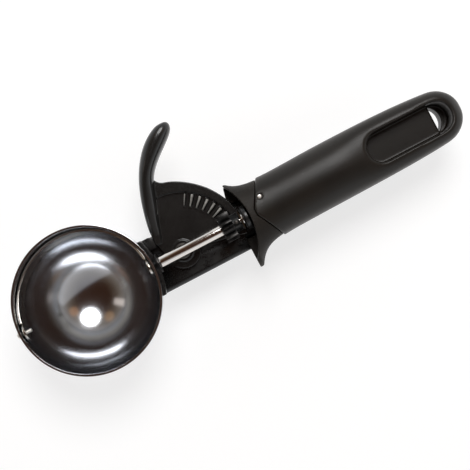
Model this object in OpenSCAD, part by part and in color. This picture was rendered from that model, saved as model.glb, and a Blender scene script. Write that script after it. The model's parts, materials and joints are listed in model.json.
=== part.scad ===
// Lever ice cream scoop. A steel bowl is brazed to a channel frame, and a thumb lever with a
// toothed sector turns a small pinion, whose shaft sweeps a curved blade round the inside of
// the bowl. All sizes are in millimetres.
//
// X runs from the bowl to the end of the handle, Z points out of the mouth of the bowl, and the
// thumb lever stands on the +Y side. Every piece is drawn about the centre of the bowl, with
// the blade's shaft along the X axis. place() then moves it, so that the origin of the finished
// part is the centre of the hanging eye.

/* [Bowl] */
// Outer radius of the bowl
bowl_r = 33; // [30:0.5:35]
// Wall of the bowl
bowl_wall = 1; // [0.8:0.1:1.4]
// Height of the rim above the axis of the blade
rim_h = 4.5; // [4.2:0.1:7]
// Sheet of the saddle between the bowl and the frame
saddle_t = 1.5; // [1:0.1:2]
// Depth of the saddle below the axis of the blade
saddle_drop = 18; // [17:0.5:22]

/* [Blade] */
// Width of the blade
blade_w = 8; // [6:0.5:10]
// Thickness of the blade
blade_t = 0.9; // [0.7:0.1:1.1]
// Running gap between the blade and the bowl
blade_gap = 0.6; // [0.3:0.05:0.8]
// Angle of the blade below the rim plane at rest
blade_dip = 12; // [6:0.5:16]
// Radius of the ears at both ends of the blade
ear_r = 4; // [3.2:0.1:4]
// Radius of the pivot pin at the far side of the bowl
far_pin_r = 0.8; // [0.6:0.1:1]
// Radius of the head on that pin
far_head_r = 1.6; // [1.4:0.1:2]
// How far that pin reaches into the bowl past the ear
far_pin_reach = 2; // [1.2:0.2:3]

/* [Shaft and pinion] */
// Radius of the shaft that turns the blade
shaft_r = 2.5; // [2.2:0.1:2.8]
// Radius of the riveted tenon at the end of the shaft
tenon_r = 1.5; // [1.2:0.1:1.8]
// Teeth on the pinion
pinion_teeth = 11; // [10:1:12]
// Mean radius of the sector's teeth about the lever pivot
mesh_r = 22.6; // [22:0.1:23]
// Length of the teeth along the shaft
face_w = 5.6; // [4.4:0.2:5.8]
// Radius of the pinion's hub
hub_r = 4.2; // [3.8:0.1:4.2]
// Length of the pinion's hub
hub_len = 3; // [2.4:0.1:3]
// Radius of the cross pin through the hub
cross_pin_r = 0.8; // [0.5:0.1:0.9]
// Thickness of the retaining clip
clip_t = 0.6; // [0.4:0.1:0.7]
// Thickness of the thrust washer
thrust_t = 0.5; // [0.3:0.1:0.6]

/* [Lever] */
// Distance from the bowl to the lever pivot
pivot_reach = 13.6; // [13:0.2:16]
// Groove between the sector's teeth and its raised rim
rim_gap = 1; // [0.6:0.1:1.6]
// Width of the raised rim of the sector
sector_rim = 3.5; // [2.5:0.1:3.6]
// Thickness of the sector's plate
plate_t = 2.2; // [1.6:0.1:3]
// Radius of the hub of the lever
lever_hub_r = 8; // [7:0.5:9]
// Radius of the rivet that the lever turns on
rivet_r = 2; // [1.6:0.1:2.2]
// Radius of the head of that rivet
rivet_head_r = 3.6; // [3.4:0.1:4.2]
// Wall of the bush in the lever
bush_wall = 1.1; // [0.8:0.1:1.4]
// Centre of the round thumb end, behind the lever pivot
thumb_x = 17.8; // [14:0.2:20]
// Centre of the round thumb end, out from the shaft
thumb_y = 51.6; // [48:0.2:56]
// Radius of the rounded thumb end
thumb_r = 3; // [2.4:0.1:3.4]
// Height of the thumb end above the axis of the shaft
thumb_top = 2.4; // [1:0.2:5]

/* [Frame] */
// Width of the channel
frame_w = 26; // [25:0.2:28]
// How far the channel sits off the line of the shaft, away from the thumb lever
frame_off = 0.7; // [0:0.1:1]
// Sheet of the channel
sheet_t = 1.6; // [1.2:0.1:2]
// Height of the channel's side walls
frame_h = 8.7; // [8.2:0.1:10]
// Height of the channel's side walls at the handle
frame_end_h = 6.5; // [5:0.1:8]
// Width of the tang in the handle
tang_w = 17; // [15:0.5:18]
// Height of the tang
tang_h = 4.6; // [3.5:0.1:5]
// Length of the tang behind the lug
tang_len = 48; // [30:1:52]
// Half the width of the lug that holds the rear bush
lug_r = 5.5; // [5:0.1:6]

/* [Return spring] */
// Radius of the spring wire
wire_r = 0.55; // [0.4:0.05:0.6]
// Mean radius of the coil
coil_r = 4.4; // [4:0.1:5]
// Rise of the coil in one turn
coil_pitch = 1.25; // [1.22:0.01:1.3]
// Distance of the lever's peg from the pivot
peg_at = 9.5; // [9:0.1:10]
// Radius of the lever's peg
peg_r = 1.2; // [1:0.1:1.4]

/* [Handle] */
// Depth of the hollow in the front of the guard, round the sector
guard_hollow = 5.9; // [5:0.1:6.5]
// Length of the guard along the handle
guard_len = 16.4; // [15:0.2:20]
// How far the guard flares out on the lever side
wing_left = 4.8; // [3:0.2:7]
// How far the guard flares out on the other side
wing_right = 9; // [5:0.2:11]
// How far the guard flares up and down
wing_high = 2.4; // [1:0.2:4]
// How far the guard stands back from the skin of the grip behind it
shoulder = 0.7; // [0.3:0.1:1]
// Half width of the grip behind the guard, lever side
neck_left = 13.5; // [12.5:0.1:14.5]
// Half width of the grip behind the guard, other side
neck_right = 14.4; // [13:0.1:15]
// Half height of the grip behind the guard
neck_h = 11.8; // [11.4:0.1:13]
// Half width of the grip at its belly, lever side
belly_left = 14.1; // [13:0.1:16]
// Half height of the grip at its belly
belly_h = 12.4; // [11.6:0.1:14]
// Distance from the guard to the belly
belly_at = 32.4; // [28:0.2:36]
// Distance from the guard to the hanging eye
eye_at = 81.9; // [76:0.1:100]
// Half width of the grip at the hanging eye
end_r = 12.4; // [11:0.1:14]
// Length of the rounded end behind the centre of the eye
end_len = 13.2; // [12:0.1:15]
// Half height of the grip beside its recess
recess_h = 10.4; // [9:0.1:12]
// Radius of the recess and of the hanging eye
eye_r = 7; // [5:0.1:8]
// Distance between the two round ends of the recess
recess_len = 26.9; // [20:0.1:28]
// How much shorter the recess on the underside is, at the eye
eye_step = 2.4; // [1.5:0.1:2.6]
// Thickness of the web at the bottom of the recess
web_t = 3.2; // [2:0.1:5]
// Height of the grip's axis below the shaft
handle_drop = 6; // [5.5:0.1:7]
// Radius of the pin through the grip and the tang
handle_pin_r = 1.15; // [0.8:0.05:1.3]

/* [Hidden] */
$fn = 96;

// clearances
braze = 0.1;            // joint filled with braze, between the bowl, the saddle and the frame
slip = 0.1;             // parts that slide on each other
turn = 0.1;             // a pin or a shaft that turns in its hole, on the radius
seat = 0.2;             // moulded parts round the tang
joint = 0.15;           // between the guard and the grip

// along the shaft
blade_r = bowl_r - bowl_wall - blade_gap;
ear_x = blade_r - 0.3;                       // outer face of the flat ears
saddle_in = bowl_r + braze;
saddle_out = saddle_in + saddle_t;
bore_r = shaft_r + turn;
seat_r = bore_r + 0.8;                       // outside of both bushings
flange_r = bore_r + 1.8;
flange_t = 0.7;
pivot_x = bowl_r + pivot_reach;
tooth_in = mesh_r - face_w / 2 + 0.1;        // radii of the sector's teeth
tooth_out = mesh_r + face_w / 2 + 0.1;
pinion_x = pivot_x + tooth_in - 0.1;
hub_x = pinion_x + face_w;
clip_x = hub_x + hub_len + 0.1;
groove_r = shaft_r - 0.4;
thrust_x = clip_x + clip_t;
sector_r = tooth_out + rim_gap + sector_rim;
lug_x = max(pivot_x + sector_r + 0.9, thrust_x + thrust_t + 0.6 + flange_t);  // clear of both
rear_flange_x = lug_x - flange_t;
shaft_end = lug_x + sheet_t + 0.1;

// the gears: one turn of the lever would give the pinion four
gear_ratio = 4;
sector_teeth = gear_ratio * pinion_teeth;
pitch_r = mesh_r / gear_ratio;               // pitch radius of the pinion
tooth_pitch = 2 * PI * mesh_r / sector_teeth;
gear_module = tooth_pitch / PI;
pinion_tip_r = pitch_r + 0.83 * gear_module;
pinion_root_r = pitch_r - 1.17 * gear_module;

// heights, down from the shaft
tooth_top = -pitch_r + 0.68 * gear_module;
plate_top = -pitch_r - 1.31 * gear_module;
plate_bottom = plate_top - plate_t;
rim_rise = tooth_top - plate_bottom;
hub_top = plate_top + 1;                     // boss round the lever's bush
washer_t = 0.5;
washer_top = plate_bottom - slip;
floor_top = washer_top - washer_t;
floor_bottom = floor_top - sheet_t;
frame_bottom = floor_top - frame_h;
frame_left = frame_w / 2 - frame_off;         // sides of the channel, from the line of the shaft
frame_right = frame_w / 2 + frame_off;
nut_t = 0.5;
coil_top = floor_bottom - 0.7;

// the lever, about its pivot
gap_step = 360 / sector_teeth;
sector_back = 1.5 * gap_step;                // the sector starts this far behind the shaft
lever_swing = (180 - 2 * blade_dip) / gear_ratio;
last_gap = ceil(lever_swing / gap_step) + 2;
band_front = (last_gap + 0.5) * gap_step;
sector_front = 84;                           // angle at which the rim of the sector meets the arm
bush_r = rivet_r + turn + bush_wall;
stop_x = bowl_r + 3.9;                       // face of the frame's ear that the lever rests on
peg_angle = 62;
slot_r = peg_r + 0.3;                        // round ends of the slot for the peg
slot_side = peg_r + 0.2;                     // half the width of the slot between them

// the handle
guard_front_r = lug_x - pivot_x + sheet_t + 1;          // the front of the guard curves round the sector
guard_x = pivot_x + guard_front_r - guard_hollow;
joint_x = guard_x + guard_len;
belly_x = joint_x + belly_at;
eye_x = joint_x + eye_at;
recess_x = eye_x - recess_len;
handle_z = -handle_drop;
tang_end = lug_x + tang_len;
tang_lap = 7;                                // the tang starts this far in front of the lug
tang_from = lug_x - tang_lap;
frame_end = guard_x - joint;                 // end of the wide channel, against the guard
tongue_len = 7.4;                            // the grip's tongue in the guard
tongue_w = 3.2;
tongue_x = joint_x - tongue_len;
pin_inset = 3;                               // the handle's pin, in front of the joint and beside the axis
pin_x = joint_x - pin_inset;
pin_y = 5.3;
skin_sides = 40;

// a long way past everything, for cuts that go right through
far = 200;

// ---------- helpers ----------

module place() {
    translate([-eye_x, 0, -handle_z]) children();
}

// turns a shape drawn upwards so that it points along X, with its foot at x
module along_x(x) {
    translate([x, 0, 0]) rotate([0, 90, 0]) children();
}

module at_pivot() {
    translate([pivot_x, 0, 0]) children();
}

module ring(outer, inner, h) {
    difference() {
        cylinder(r = outer, h = h);
        translate([0, 0, -1]) cylinder(r = inner, h = h + 2);
    }
}

// flanged bush standing on its flange
module flanged_bush(outer, inner, length, flange_r, flange_h) {
    difference() {
        union() {
            cylinder(r = outer, h = length);
            cylinder(r = flange_r, h = flange_h);
        }
        translate([0, 0, -1]) cylinder(r = inner, h = length + 2);
    }
}

// part of a ring between two angles
module arc_band(inner, outer, from, to, h) {
    rotate([0, 0, from])
        rotate_extrude(angle = to - from)
            translate([inner, 0]) square([outer - inner, h]);
}

// two circles and the straight between them
module obround(r, length) {
    circle(r);
    translate([length, 0]) circle(r);
    translate([0, -r]) square([length, 2 * r]);
}

function mix(a, b, t) = a + (b - a) * t;
function clamp01(t) = min(1, max(0, t));
function ease(t) = (1 - cos(180 * clamp01(t))) / 2;
function sgn_pow(v, p) = sign(v) * pow(abs(v), p);
function bezier(p, n) = [
    for (i = [0:n])
        let (t = i / n, s = 1 - t)
            s * s * s * p[0] + 3 * s * s * t * p[1] + 3 * s * t * t * p[2] + t * t * t * p[3]
];
function arc(c, r, from, to, n) = [
    for (i = [0:n]) let (a = mix(from, to, i / n)) c + r * [cos(a), sin(a)]
];

// ---------- bowl ----------

module cup(r, top) {
    intersection() {
        union() {
            sphere(r);
            cylinder(r = r, h = top);
        }
        translate([0, 0, top - far]) cylinder(r = far, h = far);
    }
}

module bowl() {
    color("silver") place() difference() {
        union() {
            cup(bowl_r, rim_h);
            translate([0, 0, rim_h])
                rotate_extrude() translate([bowl_r - bowl_wall / 2, 0]) circle(bowl_wall / 2, $fn = 24);
        }
        sphere(bowl_r - bowl_wall);
        cylinder(r = bowl_r - bowl_wall, h = rim_h + bowl_wall);
        along_x(0) cylinder(r = shaft_r + 2 * turn, h = 2 * bowl_r);
        along_x(-2 * bowl_r) cylinder(r = far_pin_r, h = 2 * bowl_r);
    }
}

module bowl_saddle() {
    color("dimgray") place() difference() {
        intersection() {
            union() {
                sphere(saddle_out);
                cylinder(r = saddle_out, h = rim_h);
            }
            translate([0, -frame_right, -saddle_drop])
                cube([2 * bowl_r, frame_w, saddle_drop + rim_h - 2]);
        }
        sphere(saddle_in);
        cylinder(r = saddle_in, h = rim_h);
        along_x(0) cylinder(r = seat_r, h = 2 * bowl_r);
    }
}

module far_pivot_pin() {
    color("silver") place() {
        along_x(-bowl_r - 0.9) cylinder(r1 = far_head_r * 0.7, r2 = far_head_r, h = 0.4);
        along_x(-bowl_r - 0.5) cylinder(r = far_head_r, h = 0.5);
        along_x(-bowl_r - 0.5) cylinder(r = far_pin_r, h = bowl_r + 0.5 - ear_x + blade_t + far_pin_reach);
    }
}

// ---------- wiper ----------

module blade_ear(x, bore) {
    along_x(x) ring(ear_r, bore, blade_t);
}

module wiper_blade() {
    color("gainsboro") place() rotate([90 - blade_dip, 0, 0]) {
        difference() {
            intersection() {
                sphere(blade_r);
                translate([-ear_x, -blade_w / 2, -far]) cube([2 * ear_x, blade_w, far]);
            }
            sphere(blade_r - blade_t);
            along_x(-far) cylinder(r = ear_r - 0.5, h = 2 * far);
        }
        blade_ear(-ear_x, far_pin_r + turn);
        blade_ear(ear_x - blade_t, tenon_r);
    }
}

module wiper_shaft() {
    color("lightgray") place() difference() {
        union() {
            along_x(ear_x) cylinder(r = shaft_r, h = shaft_end - ear_x);
            along_x(ear_x - blade_t - 0.1) cylinder(r = tenon_r, h = blade_t + 0.2);
            along_x(ear_x - blade_t - 0.8) cylinder(r1 = tenon_r, r2 = tenon_r + 0.9, h = 0.5);
            along_x(ear_x - blade_t - 0.3) cylinder(r = tenon_r + 0.9, h = 0.3);
        }
        along_x(clip_x) ring(shaft_r + 1, groove_r, clip_t);
        translate([hub_x + hub_len / 2, 0, -far / 2]) cylinder(r = cross_pin_r, h = far);
    }
}

function turn_point(p, a) = [p * [cos(a), -sin(a)], p * [sin(a), cos(a)]];

// one tooth of the pinion, pointing along +X, as an outline from its foot to its tip
function pinion_tooth(turned) =
    let (
        side = [
            [pinion_root_r - 0.2, 0.26 * tooth_pitch], [pinion_root_r, 0.26 * tooth_pitch],
            [pitch_r, 0.18 * tooth_pitch], [(pitch_r + pinion_tip_r) / 2, 0.135 * tooth_pitch],
            [pinion_tip_r, 0.08 * tooth_pitch]
        ]
    )
    concat(
        [for (p = side) turn_point([p[0], -p[1]], turned)],
        [for (i = [len(side) - 1:-1:0]) turn_point(side[i], turned)]
    );

// seen along the shaft, with a tooth pointing straight down into the sector
module pinion_outline() {
    circle(pinion_root_r);
    for (i = [0:pinion_teeth - 1]) polygon(pinion_tooth(i * 360 / pinion_teeth));
}

module pinion() {
    color("dimgray") place() difference() {
        union() {
            along_x(pinion_x) linear_extrude(face_w) pinion_outline();
            along_x(pinion_x) cylinder(r = hub_r, h = face_w + hub_len);
        }
        along_x(pinion_x - 1) cylinder(r = shaft_r, h = face_w + hub_len + 2);
        translate([hub_x + hub_len / 2, 0, -far / 2]) cylinder(r = cross_pin_r, h = far);
    }
}

module pinion_pin() {
    color("silver") place()
        translate([hub_x + hub_len / 2, 0, -hub_r - 0.1]) cylinder(r = cross_pin_r, h = 2 * hub_r + 0.2);
}

module retaining_clip() {
    color("silver") place() difference() {
        along_x(clip_x) ring(hub_r - 0.2, groove_r, clip_t);
        translate([clip_x - 1, -1.5, 0]) cube([clip_t + 2, 3, far]);
    }
}

module thrust_washer() {
    color("goldenrod") place()
        along_x(thrust_x) ring(hub_r, bore_r, thrust_t);
}

// ---------- frame ----------

// a channel that is open downwards, with rounded bends; its top is at z = 0
module channel_section(w, h, t) {
    bend = t + 0.6;
    difference() {
        union() {
            for (side = [-1, 1]) translate([side * (w / 2 - bend), -bend]) circle(bend);
            translate([-w / 2 + bend, -bend]) square([w - 2 * bend, bend]);
            translate([-w / 2, -h]) square([w, h - bend]);
        }
        translate([-w / 2 + t, -h - 1]) square([w - 2 * t, h + 1 - t]);
    }
}

module channel(x, length, w, h) {
    translate([x, 0, floor_top]) rotate([90, 0, 90]) linear_extrude(length) channel_section(w, h, sheet_t);
}

// the corner of the channel beside the sector is rounded off
module frame_corner() {
    corner = 3;
    translate([frame_end - corner, frame_left - corner, -far / 2]) difference() {
        cube([2 * corner, 2 * corner, far]);
        cylinder(r = corner, h = far);
    }
}

// the lower edge of the frame rises towards the handle
module frame_side() {
    rotate([90, 0, 0]) translate([0, 0, -frame_w]) linear_extrude(2 * frame_w)
        polygon([
            [0, floor_top + 1], [0, frame_bottom], [pivot_x + 8, frame_bottom],
            [lug_x, floor_top - frame_end_h], [lug_x, floor_top + 1]
        ]);
}

module rear_lug() {
    translate([lug_x, -lug_r, floor_bottom]) cube([sheet_t, 2 * lug_r, -floor_bottom]);
    along_x(lug_x) cylinder(r = lug_r, h = sheet_t);
}

// the ear beside the bowl that the lever rests against
module stop_ear() {
    corner = 2;
    from = pivot_reach / 2;
    reach = stop_x - bowl_r + 6;
    translate([bowl_r - 6, 0, floor_top - 0.5]) linear_extrude(tooth_top - floor_top + 0.5) {
        translate([0, from]) square([reach, frame_left - from - corner]);
        translate([0, frame_left - corner - 0.1]) square([reach - corner, corner + 0.1]);
        translate([reach - corner, frame_left - corner]) circle(corner);
    }
}

module frame() {
    color("#1c1c1e") place() difference() {
        union() {
            difference() {
                intersection() {
                    translate([0, -frame_off, 0])
                        channel(bowl_r - 8, frame_end - bowl_r + 8, frame_w, frame_h);
                    frame_side();
                }
                frame_corner();
            }
            channel(tang_from, tang_end - tang_from, tang_w, tang_h);
            rear_lug();
            stop_ear();
        }
        sphere(saddle_out + braze);
        // the lever's rivet and the slot for its peg
        at_pivot() translate([0, 0, floor_bottom - 1]) {
            cylinder(r = rivet_r, h = sheet_t + 2);
            arc_band(peg_at - slot_side, peg_at + slot_side, peg_angle - lever_swing, peg_angle, sheet_t + 2);
            for (a = [peg_angle - lever_swing, peg_angle])
                rotate([0, 0, a]) translate([peg_at, 0, 0]) cylinder(r = slot_r, h = sheet_t + 2);
        }
        // the rear bush, the handle's pin and the fixed end of the spring
        along_x(lug_x - 1) cylinder(r = seat_r, h = sheet_t + 2);
        translate([pin_x, pin_y, -far / 2]) cylinder(r = handle_pin_r, h = far);
        at_pivot() translate([coil_r, 0, spring_z(spring_turns)])
            rotate([90, 0, 0]) cylinder(r = wire_r + 0.2, h = far);
    }
}

module front_bushing() {
    color("dimgray") place()
        along_x(saddle_out + flange_t + 0.05) mirror([0, 0, 1])
            flanged_bush(seat_r, bore_r, saddle_t + flange_t, flange_r, flange_t);
}

module rear_bushing() {
    color("dimgray") place()
        along_x(rear_flange_x)
            flanged_bush(seat_r, bore_r, sheet_t + flange_t, flange_r, flange_t);
}

// ---------- lever ----------

// lower end of the arm, on the side of the bowl
arm_foot = [stop_x + seat - pivot_x, 7.5];
// where the inner edge of the arm turns back to the rim of the sector
crotch = [3, sector_r + 4.6];

module sector_plate() {
    back = sector_back - 0.3;
    intersection() {
        circle(sector_r - sector_rim / 2);
        polygon([
            [0, 0], far * [cos(back), -sin(back)], [far, far], far * [cos(sector_front), sin(sector_front)]
        ]);
    }
    circle(lever_hub_r);
    // between the hub, the arm and the rim
    polygon([
        [0, 0], [-0.9 * lever_hub_r, 0], arm_foot, arm_foot + [2, 2], arm_foot + [3, 8],
        [-2, sector_r - 4], [4, sector_r - 2]
    ]);
    arm_outline();
}

// the arm from above: the outer edge, the round thumb end and the inner edge down to the sector
function on_thumb(a) = [thumb_x, thumb_y] + thumb_r * [cos(a), sin(a)];
module arm_outline() {
    tip = [thumb_x, thumb_y];
    polygon(concat(
        [arm_foot],
        bezier([arm_foot + [0, 5.5], arm_foot + [0.8, 17.4], tip - [17.9, -0.9], on_thumb(110)], 18),
        arc(tip, thumb_r, 100, -50, 10),
        bezier([on_thumb(-60), tip - [3.4, 6.8], crotch + [2.4, 4.4], crotch], 10),
        bezier([crotch, crotch - [0.8, 1.6], crotch - [0.2, 4], crotch - [-2.4, 5.8]], 6),
        [[0, sector_r - 4], arm_foot + [3.6, 5], arm_foot + [2.6, 0]]
    ));
}

// the rim of the sector widens towards the arm and meets it in a hollow corner
function on_rim(a, out) = (sector_r + out) * [cos(a), sin(a)];
module rim_foot() {
    polygon(concat(
        bezier([crotch, crotch + [0.2, -1.7], on_rim(81.6, 1.8), on_rim(78, 1.6)], 6),
        bezier([on_rim(78, 1.6), on_rim(66.7, 1.9), on_rim(48.2, 1.2), on_rim(35, 0)], 12),
        arc([0, 0], sector_r - 1, 35, 92, 8),
        [crotch - [2, 0]]
    ));
}

// the arm from the side: low at the hub, high along the middle, round at the thumb end
module arm_side() {
    base = plate_bottom;
    tip_y = thumb_y + thumb_r;
    rotate([90, 0, 90]) translate([0, 0, -far / 2]) linear_extrude(far)
        polygon(concat(
            [[0, base], [tip_y - 9, base]],
            bezier([[tip_y - 9, base], [tip_y - 3, base], [tip_y, base + 3], [tip_y + 0.1, base + 6]], 8),
            bezier([[tip_y + 0.1, thumb_top - 4], [tip_y, thumb_top - 1.4], [tip_y - 3, thumb_top],
                [tip_y - 8, thumb_top]], 8),
            bezier([[tip_y - 8, thumb_top], [36, thumb_top], [22, tooth_top + 3], [11, tooth_top]], 12),
            [[0, tooth_top]]
        ));
}

// the straight gap between two teeth, as wide as the pinion's tooth and its play
module tooth_gap() {
    top = tooth_top + 0.1;
    gap_half = 0.403 * tooth_pitch;
    gap_foot = 0.232 * tooth_pitch;
    rotate([90, 0, 90]) translate([0, 0, tooth_in - 1]) linear_extrude(face_w + 1.6)
        polygon([
            [-gap_half, top], [-gap_foot, plate_top], [gap_foot, plate_top], [gap_half, top]
        ]);
}

module toothed_band() {
    difference() {
        translate([0, 0, plate_top - 0.1])
            arc_band(tooth_in, tooth_out, -sector_back, band_front, tooth_top - plate_top + 0.1);
        for (i = [-1:last_gap]) rotate([0, 0, i * gap_step]) tooth_gap();
    }
}

module lever() {
    color("#34363a") place() at_pivot() difference() {
        union() {
            translate([0, 0, plate_bottom]) linear_extrude(plate_t) sector_plate();
            translate([0, 0, plate_bottom])
                arc_band(sector_r - sector_rim, sector_r, -sector_back, sector_front + 8, rim_rise);
            translate([0, 0, plate_bottom]) linear_extrude(rim_rise) rim_foot();
            toothed_band();
            translate([0, 0, plate_bottom]) cylinder(r = bush_r + 1.6, h = hub_top - plate_bottom);
            intersection() {
                translate([0, 0, plate_bottom]) linear_extrude(far) arm_outline();
                arm_side();
            }
            rotate([0, 0, peg_angle]) translate([peg_at, 0, floor_bottom - 3.2])
                cylinder(r = peg_r, h = plate_top - floor_bottom + 3);
        }
        translate([0, 0, -far]) cylinder(r = bush_r, h = 2 * far);
    }
}

module lever_bush() {
    color("goldenrod") place() at_pivot()
        translate([0, 0, plate_bottom]) ring(bush_r, rivet_r + turn, hub_top - plate_bottom);
}

module lever_rivet() {
    tail = floor_top - frame_h + 0.8;
    color("silver") place() at_pivot() {
        translate([0, 0, tail]) cylinder(r = rivet_r, h = hub_top + slip - tail + 0.1);
        translate([0, 0, hub_top + slip]) cylinder(r = rivet_head_r, h = 0.8);
        translate([0, 0, hub_top + slip + 0.8]) cylinder(r1 = rivet_head_r, r2 = rivet_head_r - 1.2, h = 0.6);
        translate([0, 0, tail]) cylinder(r1 = rivet_r + 0.3, r2 = rivet_r + 0.7, h = 0.6);
    }
}

module pivot_washer() {
    color("gainsboro") place() at_pivot()
        translate([0, 0, floor_top]) ring(lever_hub_r - 1.2, rivet_r + turn, washer_t);
}

module push_nut() {
    color("silver") place() at_pivot()
        translate([0, 0, floor_top - frame_h + 1.4]) ring(coil_r + 1.2, rivet_r, nut_t);
}

// ---------- return spring ----------

// angle at which the wire leaves the coil towards the peg, and the turns down to the fixed end
spring_lead = acos(coil_r / peg_at);
spring_miss = (peg_r + wire_r + 0.1) / (peg_at * sin(spring_lead)) * 180 / PI;
spring_start = peg_angle - spring_miss - spring_lead;
spring_turns = 3 + spring_start / 360;
spring_arm = peg_at * sin(spring_lead) + 2.5;           // the straight end runs past the peg
function spring_z(turns) = coil_top - coil_pitch * turns;

// the centre line of the wire: straight end at the peg, coil, straight end at the side wall
function spring_path() = concat(
    [for (s = [spring_arm, spring_arm / 2])
        coil_point(spring_start, 0) + s * [-sin(spring_start), cos(spring_start), 0]],
    [for (i = [0:66]) coil_point(spring_start - i / 66 * 360 * spring_turns, i / 66 * spring_turns)],
    [for (y = [frame_right / 2, frame_right + 1]) [coil_r, -y, spring_z(spring_turns)]]
);
function coil_point(a, turns) = [coil_r * cos(a), coil_r * sin(a), spring_z(turns)];

function unit(v) = v / norm(v);
function path_step(path, i) = unit(path[min(i + 1, len(path) - 1)] - path[max(i - 1, 0)]);

// a round wire along a path that never runs straight up
module wire(path, r, sides) {
    last = len(path) - 1;
    points = [
        for (i = [0:last])
            let (d = path_step(path, i), u = unit(cross([0, 0, 1], d)), v = cross(d, u))
                for (k = [0:sides - 1]) path[i] + r * (u * cos(k * 360 / sides) + v * sin(k * 360 / sides))
    ];
    walls = [
        for (i = [0:last - 1], k = [0:sides - 1])
            let (a = i * sides + k, b = i * sides + (k + 1) % sides)
                each [[a, a + sides, b + sides], [a, b + sides, b]]
    ];
    caps = [[for (k = [0:sides - 1]) k], [for (k = [sides - 1:-1:0]) last * sides + k]];
    polyhedron(points, concat(walls, caps), convexity = 8);
}

module return_spring() {
    color("silver") place() at_pivot() wire(spring_path(), wire_r, 10);
}

// ---------- handle ----------

// half widths and half height of the handle at x. The flare of the guard dies away backwards from
// behind the tip of each wing, to a third after each run
left_run = 4.5;
right_run = 4.1;
high_run = 5;
left_tip = 2.2;
right_tip = 1.6;
function flare(x, reach, run, tip) = reach * min(1, exp((guard_x + tip - x) / run));
function half_left(x) = flare(x, wing_left, left_run, left_tip) + (x < belly_x
    ? mix(neck_left, belly_left, ease((x - joint_x) / belly_at))
    : mix(belly_left, end_r, pow(clamp01((x - belly_x) / (eye_x - belly_x)), 3)));
function half_right(x) = flare(x, wing_right, right_run, right_tip)
    + mix(neck_right, end_r, taper(clamp01((x - joint_x) / eye_at)));
function half_high(x) = flare(x, wing_high, high_run, 0) + (x < belly_x
    ? mix(neck_h, belly_h, ease((x - joint_x) / belly_at))
    : mix(belly_h, recess_h, ease((x - belly_x) / (recess_x - belly_x))));
// half of the taper is even, and half comes at the eye
function taper(t) = (t + pow(t, 6)) / 2;
function squareness(x) = mix(2.2, 2.9, ease((x - belly_x) / (recess_x - belly_x)));
// the grip closes like half an ellipse behind the eye
function closing(x) = x < eye_x ? 1 : sqrt(1 - pow((x - eye_x) / end_len, 2));

// a point of the skin at x, an angle round it and a depth under it
function skin_point(x, a, under) =
    let (p = 2 / squareness(x), side = cos(a) > 0 ? half_left(x) : half_right(x))
        [x, closing(x) * (side - under) * sgn_pow(cos(a), p),
            handle_z + closing(x) * (half_high(x) - under) * sgn_pow(sin(a), p)];
// height of the guard's upper surface above its axis
function guard_top(x, y) =
    let (n = squareness(x), side = (y > 0 ? half_left(x) : half_right(x)) - shoulder)
        (half_high(x) - shoulder) * pow(1 - pow(abs(y) / side, n), 1 / n);

// a solid through the sections of the handle at the given places along X
module handle_skin(stations, under) {
    last = len(stations) - 1;
    n = skin_sides;
    points = [for (x = stations, k = [0:n - 1]) skin_point(x, k * 360 / n, under)];
    walls = [
        for (i = [0:last - 1], k = [0:n - 1])
            let (a = i * n + k, b = i * n + (k + 1) % n)
                each [[a, a + n, b + n], [a, b + n, b]]
    ];
    caps = [[for (k = [0:n - 1]) k], [for (k = [n - 1:-1:0]) last * n + k]];
    polyhedron(points, concat(walls, caps), convexity = 4);
}

// the grip starts in a blunt tongue that keys into the guard
module grip_region(grow) {
    translate([0, 0, -far / 2]) linear_extrude(far)
        polygon([
            [far * 2, -far], [joint_x - grow, -far], [joint_x - grow, -neck_right - 1],
            [tongue_x + 1 - grow, -tongue_w - grow], [tongue_x - grow, -tongue_w / 2],
            [tongue_x - grow, tongue_w / 2], [tongue_x + 1 - grow, tongue_w + grow],
            [joint_x - grow, neck_left + 1], [joint_x - grow, far], [far * 2, far]
        ]);
}

module tang_slot() {
    translate([pivot_x, -tang_w / 2 - seat, floor_top - tang_h - seat])
        cube([tang_end + 1 - pivot_x, tang_w + 2 * seat, tang_h + 2 * seat]);
}

// the front edge of the wing on the lever side leans back
lean = 1.2;
lean_w = 5.1;
lean_from = 3.5;
module wing_front() {
    translate([guard_x, tang_w / 2 + lean_from, -far / 2]) linear_extrude(far)
        polygon([[0, 0], [lean, lean_w], [lean, far / 4], [-1, far / 4], [-1, 0]]);
}

module guard() {
    last = guard_len + 0.6;
    stations = concat([0, right_tip], [for (i = [0:11]) left_tip + (last - left_tip) * pow(i / 11, 1.3)]);
    color("#2a2622") place() difference() {
        handle_skin([for (s = stations) guard_x + s], shoulder);
        grip_region(joint);
        // hollow round the sector; below it a lip closes the end of the channel
        at_pivot() translate([0, 0, floor_top - 2 * seat]) cylinder(r = guard_front_r, h = far);
        wing_front();
        tang_slot();
    }
}

module recess(foot, height, length) {
    translate([recess_x, 0, foot]) linear_extrude(height) obround(eye_r, length);
}

module grip() {
    body = [for (i = [0:17]) tongue_x - 1 + (eye_x - tongue_x + 1) * i / 17];
    end = [for (a = [12:12:84]) eye_x + end_len * sin(a)];
    color("#2a2622") place() difference() {
        intersection() {
            handle_skin(concat(body, end, [eye_x + end_len * 0.998]), 0);
            grip_region(0);
        }
        tang_slot();
        recess(handle_z + web_t / 2, far, recess_len);
        recess(handle_z - web_t / 2 - far, far, recess_len - eye_step);
        // the hanging eye: behind the end of the web the two recesses meet
        intersection() {
            translate([eye_x, 0, handle_z - web_t / 2]) cylinder(r = eye_r, h = far);
            translate([eye_x, -far / 2, -far / 2]) cube(far);
        }
        translate([pin_x, pin_y, -far / 2]) cylinder(r = handle_pin_r, h = far);
    }
}

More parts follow.
